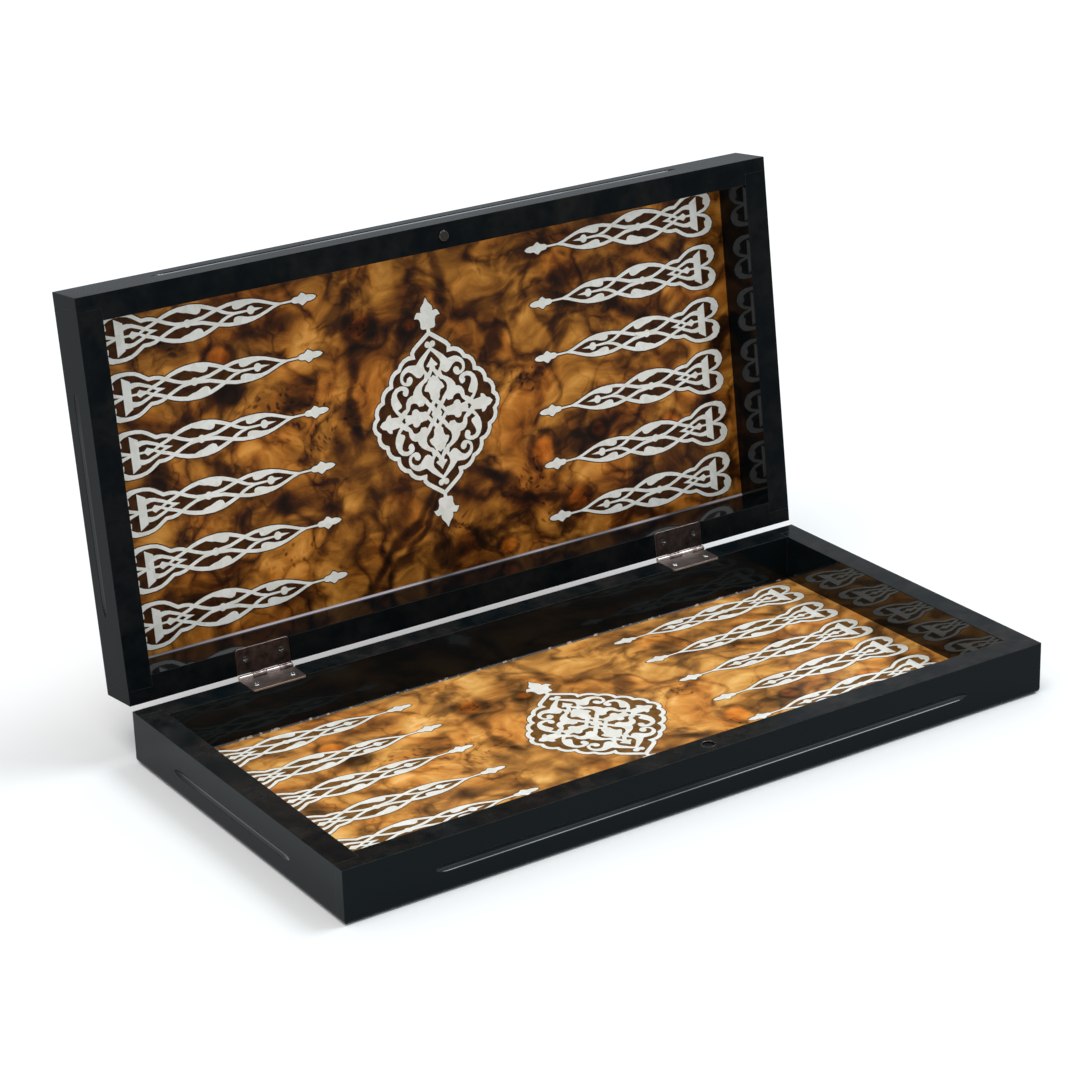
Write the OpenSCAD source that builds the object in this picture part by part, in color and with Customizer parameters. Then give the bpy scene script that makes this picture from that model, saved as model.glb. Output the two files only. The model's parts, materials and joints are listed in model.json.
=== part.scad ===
// Folding backgammon board: two equal trays hinged along one long edge.
// Lacquered rails frame a walnut burl panel inlaid with pearl points and a medallion.
// Millimetres. X runs along the hinge, +Y towards it and +Z up.
// The origin is the centre of the lower tray's underside.
// A tray part is drawn with its rim up; the lid's is the same part turned over on the hinge.

/* [Trays] */
// Length of the board along the hinge
board_l = 480; // [450:1:540]
// Depth of one tray
board_d = 241; // [232:1:262]
// Height of one tray
tray_h = 32.5; // [29:0.5:42]
// Width of every rail, seen on the rim
rail_w = 15.5; // [14.5:0.5:18]
// Rounding of the edges round the outer face
edge_r = 3; // [1.5:0.5:4]
// What is left of a long rail's width beside the end of a side rail
lap_w = 8.5; // [7:0.5:10]
// Glue seam at each end of a side rail
seam = 0.1; // [0.05:0.05:0.3]
// Gap between the two rims when the board is shut
rim_gap = 0.4; // [0.2:0.1:1]
// Opening of the lid, 0 when shut and 180 when laid flat
lid_angle = 96.5; // [0:0.5:180]

/* [Panel] */
// Thickness of the veneer on the outer face
back_veneer_t = 0.4; // [0.3:0.1:0.8]
// Thickness of the plywood core
core_t = 1.8; // [1.4:0.2:4]
// Thickness of the burl sheet on the playing face
burl_t = 0.8; // [0.6:0.1:1.2]
// Thickness of the pearl, which lies level with the burl
pearl_t = 0.2; // [0.1:0.05:0.4]
// How far the panel reaches into the rails
panel_lip = 6; // [4:0.5:7]
// Clearance round the panel in its rebate
panel_fit = 0.1; // [0.05:0.05:0.3]
// Dark margin that shows round the pearl
ground_margin = 0.6; // [0.3:0.1:1]
// Glue line round each piece of inlay
glue_line = 0.05; // [0.02:0.01:0.1]

/* [Points] */
// Length of a point, from its heart to its tip
point_l = 143.5; // [130:0.5:150]
// Width of a point across its heart
point_w = 28.8; // [24:0.2:31]
// Gap between a heart and the rail behind it
point_gap = 7.2; // [4:0.2:12]
// Gap between the outermost points' field and the long rails
row_edge = 1.2; // [0:0.2:4]
// Width of the plain strands of a point
strand_w = 2.2; // [1.8:0.1:2.6]

/* [Medallion] */
// Width of the medallion's frame, measured along the board
medallion_w = 91.8; // [80:0.2:100]
// Height of the medallion with both finials
medallion_h = 145.8; // [130:0.2:160]
// Width of the scalloped band
band_w = 2.8; // [2.2:0.1:3.4]
// How far the medallions lie off the middle, down the page when the board lies flat
medallion_drop = 1.4; // [0:0.1:4]
// Rise of each scallop above its chord
scallop_rise = 2.3; // [1.6:0.1:2.8]

/* [Flutes] */
// Radius of the groove's round bottom
flute_nose_r = 2.8; // [2.4:0.2:4]
// Depth of the groove
flute_depth = 1.6; // [1:0.2:1.8]
// Radius of the disc that cuts it, which sets the tapered ends
flute_disc_r = 26; // [15:1:40]
// Height of the groove above the outer face
flute_z = 14.8; // [12:0.2:17]
// Plain length at each end of the front rail
front_flute_margin = 56; // [40:1:80]
// Plain length of a side rail between the groove and the front face
side_flute_front = 57; // [40:1:70]
// Plain length of a side rail between the groove and the hinged face
side_flute_back = 50; // [40:1:70]

/* [Hinges] */
// Distance from the board's end to the middle of a hinge
hinge_inset = 88.6; // [50:0.2:120]
// Length of a hinge
hinge_l = 36; // [30:1:50]
// Width of a leaf, from the pin's axis to its free edge
leaf_w = 17.8; // [15:0.2:18]
// Thickness of a leaf
leaf_t = 1; // [0.8:0.1:1.3]
// Depth of a leaf's face below the rim
leaf_sink = 0.5; // [0.3:0.1:1]
// Gap between a knuckle and the hinged faces of the trays
barrel_gap = 0.3; // [0.2:0.05:0.6]
// Radius of the pin
pin_r = 0.8; // [0.6:0.05:0.9]
// Running clearance round the pin
pin_fit = 0.05; // [0.02:0.01:0.1]
// Gap between neighbouring knuckles
knuckle_gap = 0.3; // [0.15:0.05:0.5]
// Clearance of a leaf in its mortise
mortise_fit = 0.5; // [0.3:0.1:1]
// Distance between the two screws of a leaf
screw_pitch = 24.2; // [18:0.2:26]
// Distance of the screws from the leaf's free edge
screw_edge = 7; // [5:0.2:9]
// Radius of a screw's head
screw_head_r = 1.9; // [1.6:0.1:2.2]
// Radius of a screw's shank
screw_r = 1; // [0.8:0.1:1.2]
// Length of a screw below its leaf
screw_l = 9; // [7:1:12]

/* [Catch] */
// Radius of the pocket in the lower front rail
catch_r = 4.3; // [3.8:0.1:4.8]
// Wall of the cup in the lower pocket
cup_wall = 0.5; // [0.4:0.1:0.8]
// Thickness of the magnet in the cup
magnet_t = 2; // [1.5:0.5:3]
// How far the lid's stud stands out of its rim
stud_proud = 1; // [0.8:0.1:1.4]
// Air left between the stud and the magnet
catch_air = 0.3; // [0.1:0.1:0.4]
// Depth of the stud in the lid's front rail
stud_l = 6; // [4:1:10]

/* [Hidden] */

lacquer = "#1b2023";
burl = "#9a5f1e";
ground = "#4a2610";
pearl = "#d8e0da";
plywood = "#b08a58";
bronze = "#4a3834";
steel = "#b4b8b8";

// Overshoot of a cut past the face it opens
cut = 1;
// A board has six points on each side of each tray
rows = 6;
// Farthest that a straight piece of an inlay curve lies from the curve
sag = 0.2;
// Cones that each end of a flute tapers over
flute_cones = 5;
// Clearance round the pieces of the catch in their pockets
catch_fit = 0.05;
// Clearance of the stud in the cup's mouth
stud_fit = 0.3;
// Thickness of the cup's bottom
cup_floor = 0.4;
// Chamfer at the edge of the stud and at the ends of a pin
stud_chamfer = 0.5;
pin_chamfer = 0.2;
// Clearance of a screw in its leaf and its pilot hole
screw_fit = 0.05;
// Height of a screw's head above its leaf, and the bevel round it
head_proud = 0.25;
head_bevel = 0.3;
// Depth and width of the cross in a screw's head
cross_depth = 0.4;
cross_w = 0.5;
// Length of a screw's point
screw_point_l = 2;
// Rounding of a leaf's free corners
leaf_corner_r = 2;
knuckles = 4;

inner_l = board_l - 2 * rail_w;
inner_d = board_d - 2 * rail_w;
panel_t = back_veneer_t + core_t + burl_t;
ground_t = burl_t - pearl_t;
panel_l = inner_l + 2 * panel_lip;
panel_d = inner_d + 2 * panel_lip;
burl_z = back_veneer_t + core_t;
row_pitch = (inner_d - 2 * row_edge) / rows;

knuckle_r = rim_gap / 2 + leaf_sink + leaf_t;
pin_y = board_d / 2 + knuckle_r + barrel_gap;
pin_z = tray_h + rim_gap / 2;
hinge_x = board_l / 2 - hinge_inset;
knuckle_pitch = hinge_l / knuckles;
countersink_h = 0.8 * leaf_t;

catch_y = -board_d / 2 + rail_w / 2;
cup_r = catch_r - catch_fit;
magnet_sink = stud_proud - rim_gap + catch_air;
cup_h = magnet_sink + magnet_t + cup_floor;
stud_r = cup_r - cup_wall - stud_fit;

// CURVES

function unit(v) = v / norm(v);
function xy(p) = [p[0], p[1]];
function hermite(a, b, ta, tb, s) =
    (2 * s ^ 3 - 3 * s ^ 2 + 1) * a + (s ^ 3 - 2 * s ^ 2 + s) * ta
    + (3 * s ^ 2 - 2 * s ^ 3) * b + (s ^ 3 - s ^ 2) * tb;

// Angle between two unit vectors in radians
function turn(u, v) = acos(max(-1, min(1, u * v))) * PI / 180;

// Straight pieces that a curve over a chord needs when it turns by an angle on the way
function pieces(chord, angle) = max(1, ceil(sqrt(chord * angle / (8 * sag))));

// Points of a smooth curve from a to b, whose neighbours before and after give the tangents.
// With no neighbour the curve leaves straight for the other end. The last point is left out.
function span(before, a, b, after) =
    let (chord = norm(b - a))
    let (way = unit(b - a))
    let (ta = is_undef(before) ? way : unit(b - before))
    let (tb = is_undef(after) ? way : unit(after - a))
    let (steps = pieces(chord, turn(ta, way) + turn(way, tb)))
    [for (k = [0 : steps - 1]) hermite(a, b, chord * ta, chord * tb, k / steps)];

// Distance of b from the line through a and c
function off_line(a, b, c) = norm((b - a) - ((b - a) * unit(c - a)) * unit(c - a));

// The points without every second one that lies as good as straight between its neighbours
function thinned(p) =
    [for (i = [0 : len(p) - 1])
        if (i % 2 == 0 || i == len(p) - 1 || off_line(p[i - 1], p[i], p[i + 1]) > sag) p[i]];

// Closed outline through the points; a third value of 1 marks a corner
function outline(p) =
    let (n = len(p))
    thinned([for (i = [0 : n - 1])
        let (j = (i + 1) % n)
        let (before = p[i][2] == 1 ? undef : xy(p[(i + n - 1) % n]))
        let (after = p[j][2] == 1 ? undef : xy(p[(i + 2) % n]))
        each span(before, xy(p[i]), xy(p[j]), after)]);

// Open curve through the points, whose third value is the strand's width there
function centreline(p) =
    let (last = len(p) - 1)
    thinned(concat([for (i = [0 : last - 1])
        let (before = i == 0 ? undef : xy(p[i - 1]))
        let (after = i == last - 1 ? undef : xy(p[i + 2]))
        let (run = span(before, xy(p[i]), xy(p[i + 1]), after))
        for (k = [0 : len(run) - 1])
            [run[k][0], run[k][1], p[i][2] + (p[i + 1][2] - p[i][2]) * k / len(run)]
    ], [p[last]]));

// Outline of a strand of varying width, given in strand widths
function strand(p) =
    let (c = centreline(p))
    let (last = len(c) - 1)
    let (side = [for (i = [0 : last])
        let (t = unit(xy(c[min(i + 1, last)]) - xy(c[max(i - 1, 0)])))
        [-t[1], t[0]] * c[i][2] * strand_w / 2])
    concat([for (i = [0 : last]) xy(c[i]) + side[i]],
        [for (i = [last : -1 : 0]) xy(c[i]) - side[i]]);

// What lies between a centreline and the X axis
function below(p) = concat([for (q = centreline(p)) xy(q)], [[p[len(p) - 1][0], 0], [p[0][0], 0]]);

function flip_y(p) = [p[0], -p[1]];

// Arc from a to b that bulges to the left of the way by rise, without its last point
function arc(a, b, rise) =
    let (half = norm(b - a) / 2)
    let (r = (half ^ 2 + rise ^ 2) / (2 * rise))
    let (way = unit(b - a))
    let (left = [-way[1], way[0]])
    let (centre = (a + b) / 2 + left * (rise - r))
    let (sweep = 2 * asin(half / r))
    let (steps = 2 * ceil(pieces(2 * half, sweep * PI / 180) / 2))
    [for (k = [0 : steps - 1])
        let (t = sweep * (k / steps - 0.5))
        centre + r * (left * cos(t) + way * sin(t))];

module both_sides() {
    children();
    mirror([0, 1]) children();
}

module both_ends() {
    children();
    mirror([1, 0]) children();
}

// POINTS
// Drawn along X from the heart at 0 to the tip, with Y across, one side only.

POINT_DRAWN = [143.5, 28.8];

// Lobe of the heart, from the bar round to the cusp
HEART = [[11.7, 0.3, 0.75], [8, 1.2, 0.9], [4.4, 2.8, 1.15], [2.9, 6.8, 2.5], [4.8, 11.3, 1.9],
    [12, 13.2, 1.15], [20.3, 12.3, 1.05], [26.2, 9, 1.1], [28.9, 7.2, 1.1]];
// Barb inside the lobe
BARB = [[5.4, 10], [6.5, 5.6, 1], [3.6, 4.2, 1], [1.6, 7.6]];
// From the cusp, inside the first lens, outside the second, to the stem
INNER_THEN_OUTER = [[28.4, 7.3, 1.1], [32.6, 7.4, 1.1], [36, 6.8, 1.05], [39.3, 5.4, 1],
    [44.5, 2.9, 1], [49.5, 1.1, 0.95], [57.6, 0.45, 1], [67.5, 1.4, 1.05], [72.2, 2.8, 1.05],
    [77.5, 4.5, 1], [84.4, 5.9, 1.05], [90.4, 6.3, 1], [95.3, 6.1, 1.1], [100.2, 5.4, 1.15],
    [105.2, 4.3, 0.95], [110.1, 2.6, 0.9], [114.3, 1, 0.85], [119, 0, 0.6], [127.2, 0, 0.6]];
// From the bud's stalk, outside the first lens, inside the second, to the last bud
OUTER_THEN_INNER = [[27, 0.3, 0.75], [30.6, 2.2, 0.95], [35.1, 3.6, 1], [39.3, 5.4, 1],
    [43, 7, 1.1], [47.5, 8.3, 1.2], [52.4, 9.2, 1.2], [59.8, 9.6, 1.15], [64.3, 9, 1.15],
    [67.5, 8.3, 1.15], [72.2, 6.65, 1.1], [77.5, 4.5, 1], [80.5, 2.6, 1], [84, 1.1, 0.85],
    [88.5, 0.3, 0.55], [92, 0, 0.55], [99, 0, 0.55]];
// Crescent beside the bud, which ends in the spur
CRESCENT = [[16.8, 5.4, 1.65], [19.8, 5.8, 1.3], [22.7, 5.5, 1.05], [25.7, 4.4, 0.9], [28.7, 3.1, 0.9],
    [30.6, 2.2, 0.9], [33.4, 0.7, 0.75], [38.6, 0, 0.1]];
// Leaves that hang inside the two lenses
FIRST_LEAF = [[50, 8.5, 1], [55.4, 6.6], [58, 6.15], [60.3, 5.2], [62.3, 4.45], [64.3, 4.1], [66.2, 4.7],
    [67, 5.8], [67.6, 7.4, 1], [66, 9.2], [58, 9.9]];
SECOND_LEAF = [[106, 4.2, 1], [100.2, 3.7], [96.8, 3.5], [94.3, 2.75], [92.8, 2.3], [90.4, 2], [88.4, 2.4],
    [87.5, 3.4], [87.4, 5, 1], [88.5, 6.3], [96, 6.4]];
// Bar across the heart
BAR = [[11.6, 11.3], [17.1, 8.1], [17.1, -8.1], [11.6, -11.3]];
// Bud that stands on the bar
BUD = [[16.8, 0.75, 1], [20.3, 0.7, 1], [22.3, 2.5, 1], [24.9, 1.3], [28, 0.6, 1], [28, -0.1, 1],
    [16.8, -0.1, 1]];
// Three-lobed tip
TIP = [[126.6, 0.64, 1], [127.9, 1.7], [129.5, 2], [131, 2, 1], [132, 2.7], [133.6, 4, 1], [135.2, 3.3],
    [136.8, 2.05, 1], [139.4, 2], [142, 1.3], [143.5, 0, 1], [140, -0.1, 1], [126.6, -0.1, 1]];
// Boss where the strands touch in the first lens, and bud and spike in the second
BOSS_X = 57.6;
BOSS_R = 2.5;
LAST_BUD_X = 99.35;
LAST_BUD_R = 2.6;
SPIKE = [[99.4, 1.5], [107.9, 0], [99.4, -1.5]];

module point_lattice() {
    both_sides() {
        polygon(strand(HEART));
        polygon(outline(BARB));
        polygon(strand(INNER_THEN_OUTER));
        polygon(strand(OUTER_THEN_INNER));
        polygon(strand(CRESCENT));
        polygon(outline(FIRST_LEAF));
        polygon(outline(SECOND_LEAF));
        polygon(outline(BUD));
        polygon(outline(TIP));
    }
    polygon(BAR);
    translate([BOSS_X, 0]) circle(BOSS_R, $fn = 24);
    translate([LAST_BUD_X, 0]) circle(LAST_BUD_R, $fn = 24);
    polygon(SPIKE);
}

// The point without its openings
module point_silhouette() {
    point_lattice();
    both_sides()
        for (p = [HEART, INNER_THEN_OUTER, OUTER_THEN_INNER])
            polygon(below(p));
}

module to_point_size() {
    scale([point_l / POINT_DRAWN[0], point_w / POINT_DRAWN[1]]) children();
}

// Copies of a point down the left side, its heart against the left rail
module down_left() {
    for (row = [0 : rows - 1])
        translate([point_gap - inner_l / 2, (row - (rows - 1) / 2) * row_pitch])
            to_point_size() children();
}

// MEDALLION
// Drawn in the quarter to the right of and above its centre.

MEDALLION_DRAWN = [91.8, 145.8];

// Shoulder from the apex to the first cusp, then the other cusps
SHOULDER = [[0, 50.7, 1], [7.5, 45.4, 1], [11.4, 42.5, 1], [13.1, 40.3, 1], [12.75, 37.75, 1]];
CUSPS = [[12.75, 37.75], [23.3, 31.75], [29.9, 22.65], [36.8, 14.05], [41.55, 5.1]];
SIDE_SCALLOP_RISE = 2.95;

FINIAL = [[0, 72.9, 1], [1.7, 69.6], [4.1, 66.9], [4.4, 64.7], [3.9, 64.1, 1], [6.9, 64.5], [8.2, 63],
    [9.2, 60.7, 1], [7.6, 60.7], [6, 60], [5.2, 58], [5.2, 54.6], [4, 53.4], [1.4, 53.2, 1], [1.2, 51.2, 1],
    [-0.1, 51.2, 1]];
// Upper half palmette with its scroll
UPPER_PALMETTE = [[-0.1, 43.2, 1], [1, 41.8], [1.7, 41], [4.4, 38.7], [7.9, 36.2], [11.2, 32.7, 1],
    [16.2, 33.3], [19.6, 32.1], [22.3, 29.6], [23.3, 26.2], [22.3, 22.6], [18.1, 20.8], [15.7, 21.7],
    [14.5, 23.8], [14.9, 25.7], [16.7, 26.6], [18.4, 25.7], [18.8, 24.2], [19.2, 23.3, 1], [20.4, 23.7],
    [21.2, 25.2], [20.8, 27.2], [19.1, 28.8], [17, 29.4], [14.9, 28.4], [11.4, 24.7], [9.5, 24.1],
    [7.9, 24.8], [6.6, 26, 1], [3.7, 26.4, 1], [5.3, 28.6], [6, 31.2], [5.5, 33.1], [1.9, 37.6],
    [-0.1, 39.5, 1]];
UPPER_TIE = [[6.9, 29.6, 0.9], [5.6, 27, 0.9], [3.6, 24.2, 0.9], [1.8, 21.5, 0.9]];
// Pearl that fills the corner between the tie and the palmette below it
TIE_WEB = [[4.5, 26.6], [6, 26.4], [6, 25.6], [6.7, 22.8], [4.5, 24]];
TREFOIL = [1.8, 43.65];
TREFOIL_R = 2.05;
// Arrow above the upright spindle
ARROW = [[0, 35.7, 1], [1.5, 33.4], [4.1, 30.6, 1], [3.4, 29.7], [1.9, 29.6, 1], [2.2, 27.8], [3.7, 26.4, 1],
    [6, 25, 1], [4, 22.2, 1], [1.9, 23.5, 1], [0, 26.9, 1]];
UPRIGHT = [[0, 24.4, 1], [1.9, 22.8], [3.8, 21.6], [4.4, 20.1], [6.1, 18.3], [7.2, 15.8, 1], [6.6, 15],
    [4.4, 14.5], [3.5, 12.7], [3.3, 9.8], [2.3, 8.7], [1.2, 7.2], [-0.1, 6.9, 1]];
// Middle half palmette
MIDDLE_PALMETTE = [[4, 24.6, 1], [7.9, 22.5], [10.4, 21.1], [12.8, 19.4], [14.9, 16.6], [15.4, 14.6, 1],
    [17.4, 14.3], [19.5, 13], [20.9, 10.6], [21.2, 7.1, 1], [23, 6.4], [25.4, 4.4, 1], [22.6, 2.2, 1],
    [19.1, 5.5], [18.4, 6.7], [17.7, 8.8], [15.6, 9.5], [13.2, 8.5], [12.1, 6.6, 1], [8.8, 6.6, 1],
    [7.7, 8, 1], [5.1, 4.6, 1], [2.6, 6.6, 1], [4.4, 8.1], [5.1, 9.5], [6.8, 11.3], [8.6, 13.4],
    [9.1, 15.9], [8.6, 18], [6.8, 20.1], [4.7, 21], [4, 22.2, 1]];
// Scroll beside it, on the stem that ties it to the level spindle
SCROLL = [[26.1, 2.9, 1], [28.2, 5.3], [30.3, 8.8], [31.2, 12.3], [31, 15.2], [29.6, 18.7], [27.2, 21.1],
    [24, 22], [21.2, 21.6], [19.1, 20.4], [18, 18.3], [19.1, 15.2], [20.3, 14.7], [21.9, 15.5],
    [22.6, 17.1], [21.9, 18.7, 1], [23.3, 19.2], [25.4, 18.7], [26.7, 16.9], [26.3, 14.8], [25.1, 12.7],
    [23.9, 10.2], [24.4, 8.5], [27, 7.3, 1], [25.8, 6], [24.2, 4.6, 1]];
SCROLL_TIE = [[26.4, 4.8, 0.9], [24.4, 3.2, 0.9], [21, 1.6, 0.9]];
PALMETTE_TIE = [[22, 5.9, 0.9], [25.6, 3.4, 0.9], [28.6, 0.6, 0.9]];
// Level spindle, its end fleuron and the crossing at the centre
LEVEL = [[6.2, -0.1, 1], [5.6, 1.2, 1], [7.5, 2.9, 1], [9.5, 2.9], [12.1, 3.5, 1], [13, 5], [15.1, 5.8],
    [17.2, 4.7], [17.7, 2.7, 1], [20, 3], [22.4, 3.9, 1], [22.1, 1.9, 1], [22.9, -0.1, 1]];
FLEURON = [[25.1, -0.1, 1], [23.2, 2, 1], [25.4, 3, 1], [27.5, 3.2], [30, 3.6], [32.1, 3.8, 1],
    [32.4, 6, 1], [34.2, 5.7], [35.6, 4.3], [36.3, 3.05, 1], [38.8, 2.2], [40.7, 0, 1], [36, -0.1, 1]];
CROSSING = [[0.6, 8.2, 1.3], [2.4, 6, 1.2], [4.6, 3.25, 1.1], [6.9, 0.3, 1.1]];
CROSSING_HEART = [[-0.1, -0.1], [-0.1, 3], [1.1, 5.1], [1.8, 5.6], [3.7, 2.8], [3, 1.9], [3.9, -0.1]];

QUARTER_FRAME = concat(
    [for (i = [0 : len(SHOULDER) - 2]) xy(SHOULDER[i])],
    [for (i = [0 : len(CUSPS) - 2]) each arc(CUSPS[i], CUSPS[i + 1], scallop_rise)],
    arc(CUSPS[len(CUSPS) - 1], flip_y(CUSPS[len(CUSPS) - 1]), SIDE_SCALLOP_RISE));

// Everything inside the middle of the scalloped band
module frame_field() {
    both_sides()
        both_ends()
            polygon([for (q = concat([[0, 0]], QUARTER_FRAME)) [q[0], max(q[1], 0)]]);
}

module scalloped_band() {
    difference() {
        offset(delta = band_w / 2) frame_field();
        offset(delta = -band_w / 2) frame_field();
    }
}

module medallion_lattice() {
    scalloped_band();
    both_sides()
        both_ends() {
            polygon(outline(FINIAL));
            polygon(outline(UPPER_PALMETTE));
            polygon(strand(UPPER_TIE));
            polygon(TIE_WEB);
            polygon(outline(ARROW));
            polygon(outline(UPRIGHT));
            polygon(outline(MIDDLE_PALMETTE));
            polygon(outline(SCROLL));
            polygon(strand(SCROLL_TIE));
            polygon(strand(PALMETTE_TIE));
            polygon(outline(LEVEL));
            polygon(outline(FLEURON));
            polygon(strand(CROSSING));
            polygon(CROSSING_HEART);
            translate(TREFOIL) circle(TREFOIL_R, $fn = 16);
        }
}

module medallion_silhouette() {
    offset(delta = band_w / 2) frame_field();
    both_sides()
        both_ends()
            polygon(outline(FINIAL));
}

// Puts the medallion on its panel, off the middle towards the hinge where way is 1
module to_medallion_size(way) {
    translate([0, way * medallion_drop])
        scale([medallion_w / MEDALLION_DRAWN[0], medallion_h / MEDALLION_DRAWN[1]]) children();
}

// RAILS

// Section of the closed tray across a width, with its lower edges rounded
module rounded_section(width) {
    translate([-width / 2, edge_r]) square([width, tray_h - edge_r]);
    translate([edge_r - width / 2, 0]) square([width - 2 * edge_r, tray_h]);
    for (side = [-1, 1])
        translate([side * (width / 2 - edge_r), edge_r]) circle(edge_r, $fn = 64);
}

// Solid block of the tray's outer form
module tray_form() {
    intersection() {
        rotate([90, 0, 90]) linear_extrude(board_l, center = true) rounded_section(board_d);
        rotate([90, 0, 0]) linear_extrude(board_d, center = true) rounded_section(board_l);
    }
}

// Room for the panel, which goes in from the outer face
module panel_seat() {
    translate([0, 0, (panel_t - cut) / 2])
        cube([panel_l + 2 * panel_fit, panel_d + 2 * panel_fit, panel_t + cut], center = true);
}

// Round-nosed groove along X in a face at y = 0, run out at both ends as a disc would leave it.
// The cones that stand for the disc's arc leave the face halfway along the last one.
module flute(length) {
    taper = sqrt(flute_disc_r ^ 2 - (flute_disc_r - flute_depth) ^ 2);
    side = [for (k = [0 : flute_cones])
        let (s = k * taper / (flute_cones - 0.5))
        [flute_nose_r - flute_disc_r + sqrt(flute_disc_r ^ 2 - s ^ 2), length / 2 - taper + s]];
    last = side[flute_cones][1];
    translate([0, flute_depth - flute_nose_r, flute_z])
        rotate([0, 90, 0])
            rotate_extrude($fn = 64)
                polygon(concat([[0, -last]], [for (k = [flute_cones : -1 : 0]) [side[k][0], -side[k][1]]],
                    side, [[0, last]]));
}

// Long rail at the front, with a rebate at each end for the side rails
module long_rail() {
    difference() {
        translate([-board_l / 2, -board_d / 2, 0]) cube([board_l, rail_w, tray_h]);
        for (side = [-1, 1])
            translate([side * (board_l / 2 + cut), -board_d / 2 + lap_w, -cut])
                mirror([side > 0 ? 1 : 0, 0, 0])
                    cube([rail_w + cut, rail_w, tray_h + 2 * cut]);
        panel_seat();
    }
}

module front_rail(pocket_r, pocket_h) {
    color(lacquer)
        difference() {
            intersection() {
                long_rail();
                tray_form();
            }
            translate([0, -board_d / 2, 0]) flute(board_l - 2 * front_flute_margin);
            translate([0, catch_y, tray_h - pocket_h]) cylinder(h = pocket_h + cut, r = pocket_r, $fn = 64);
        }
}

module back_rail() {
    color(lacquer)
        difference() {
            intersection() {
                mirror([0, 1, 0]) long_rail();
                tray_form();
            }
            for (side = [-1, 1])
                translate([side * hinge_x, 0, 0]) {
                    hinge_mortise();
                    at_screws() cylinder(h = 2 * screw_l, r = screw_r + screw_fit, center = true, $fn = 32);
                }
        }
}

module left_rail() {
    length = board_d - 2 * (lap_w + seam);
    flute_l = board_d - side_flute_front - side_flute_back;
    color(lacquer)
        difference() {
            intersection() {
                translate([-board_l / 2, -length / 2, 0]) cube([rail_w, length, tray_h]);
                tray_form();
            }
            panel_seat();
            translate([-board_l / 2, (side_flute_front - side_flute_back) / 2, 0])
                rotate([0, 0, -90]) flute(flute_l);
        }
}

module right_rail() {
    mirror([1, 0, 0]) left_rail();
}

// PANEL

module back_veneer() {
    color(burl)
        translate([0, 0, back_veneer_t / 2]) cube([panel_l, panel_d, back_veneer_t], center = true);
}

module core() {
    color(plywood)
        translate([0, 0, back_veneer_t + core_t / 2]) cube([panel_l, panel_d, core_t], center = true);
}

module left_windows() {
    offset(delta = ground_margin) down_left() point_silhouette();
}

module medallion_window(way) {
    offset(delta = ground_margin) to_medallion_size(way) medallion_silhouette();
}

module burl_sheet(way) {
    color(burl)
        translate([0, 0, burl_z])
            linear_extrude(burl_t)
                difference() {
                    square([panel_l, panel_d], center = true);
                    left_windows();
                    mirror([1, 0]) left_windows();
                    medallion_window(way);
                }
}

// Dark veneer at the bottom of each window
module point_grounds() {
    color(ground)
        translate([0, 0, burl_z]) linear_extrude(ground_t) offset(delta = -glue_line) left_windows();
}

module medallion_ground(way) {
    color(ground)
        translate([0, 0, burl_z]) linear_extrude(ground_t) offset(delta = -glue_line) medallion_window(way);
}

// Fretted pearl on the grounds, level with the burl
module points() {
    color(pearl)
        translate([0, 0, burl_z + ground_t])
            linear_extrude(pearl_t) offset(delta = -glue_line) down_left() point_lattice();
}

module medallion(way) {
    color(pearl)
        translate([0, 0, burl_z + ground_t])
            linear_extrude(pearl_t) offset(delta = -glue_line) to_medallion_size(way) medallion_lattice();
}

// HINGES
// Leaves are drawn with the middle of the pin at x = 0.

module at_screws() {
    for (side = [-1, 1])
        translate([side * screw_pitch / 2, pin_y - leaf_w + screw_edge, tray_h - leaf_sink]) children();
}

module hinge_mortise() {
    length = hinge_l + 2 * mortise_fit;
    translate([-length / 2, pin_y - leaf_w - mortise_fit, tray_h - leaf_sink - leaf_t])
        cube([length, leaf_w, leaf_sink + leaf_t + cut]);
}

// Flat of a leaf, with its free corners rounded and its screw holes countersunk
module leaf_plate() {
    plate_w = leaf_w - knuckle_r - barrel_gap;
    difference() {
        translate([0, pin_y - leaf_w, tray_h - leaf_sink - leaf_t])
            linear_extrude(leaf_t) {
                translate([-hinge_l / 2, leaf_corner_r]) square([hinge_l, plate_w - leaf_corner_r]);
                translate([leaf_corner_r - hinge_l / 2, 0]) square([hinge_l - 2 * leaf_corner_r, plate_w]);
                for (side = [-1, 1])
                    translate([side * (hinge_l / 2 - leaf_corner_r), leaf_corner_r])
                        circle(leaf_corner_r, $fn = 32);
            }
        at_screws() {
            cylinder(h = 3 * leaf_t, r = screw_r + screw_fit, center = true, $fn = 32);
            translate([0, 0, -countersink_h])
                cylinder(h = countersink_h + screw_fit, r1 = screw_r + screw_fit,
                    r2 = screw_head_r + 2 * screw_fit, $fn = 32);
        }
    }
}

// Leaf rolled round the pin at every second knuckle, counted from the left
module leaf(first) {
    color(bronze) {
        leaf_plate();
        for (k = [first : 2 : knuckles - 1])
            translate([(k - knuckles / 2) * knuckle_pitch + knuckle_gap / 2, pin_y, pin_z])
                rotate([90, 0, 90])
                    linear_extrude(knuckle_pitch - knuckle_gap)
                        difference() {
                            union() {
                                circle(knuckle_r, $fn = 64);
                                translate([-knuckle_r - barrel_gap, -knuckle_r])
                                    square([knuckle_r + barrel_gap, leaf_t]);
                            }
                            circle(pin_r + pin_fit, $fn = 64);
                        }
    }
}

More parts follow.
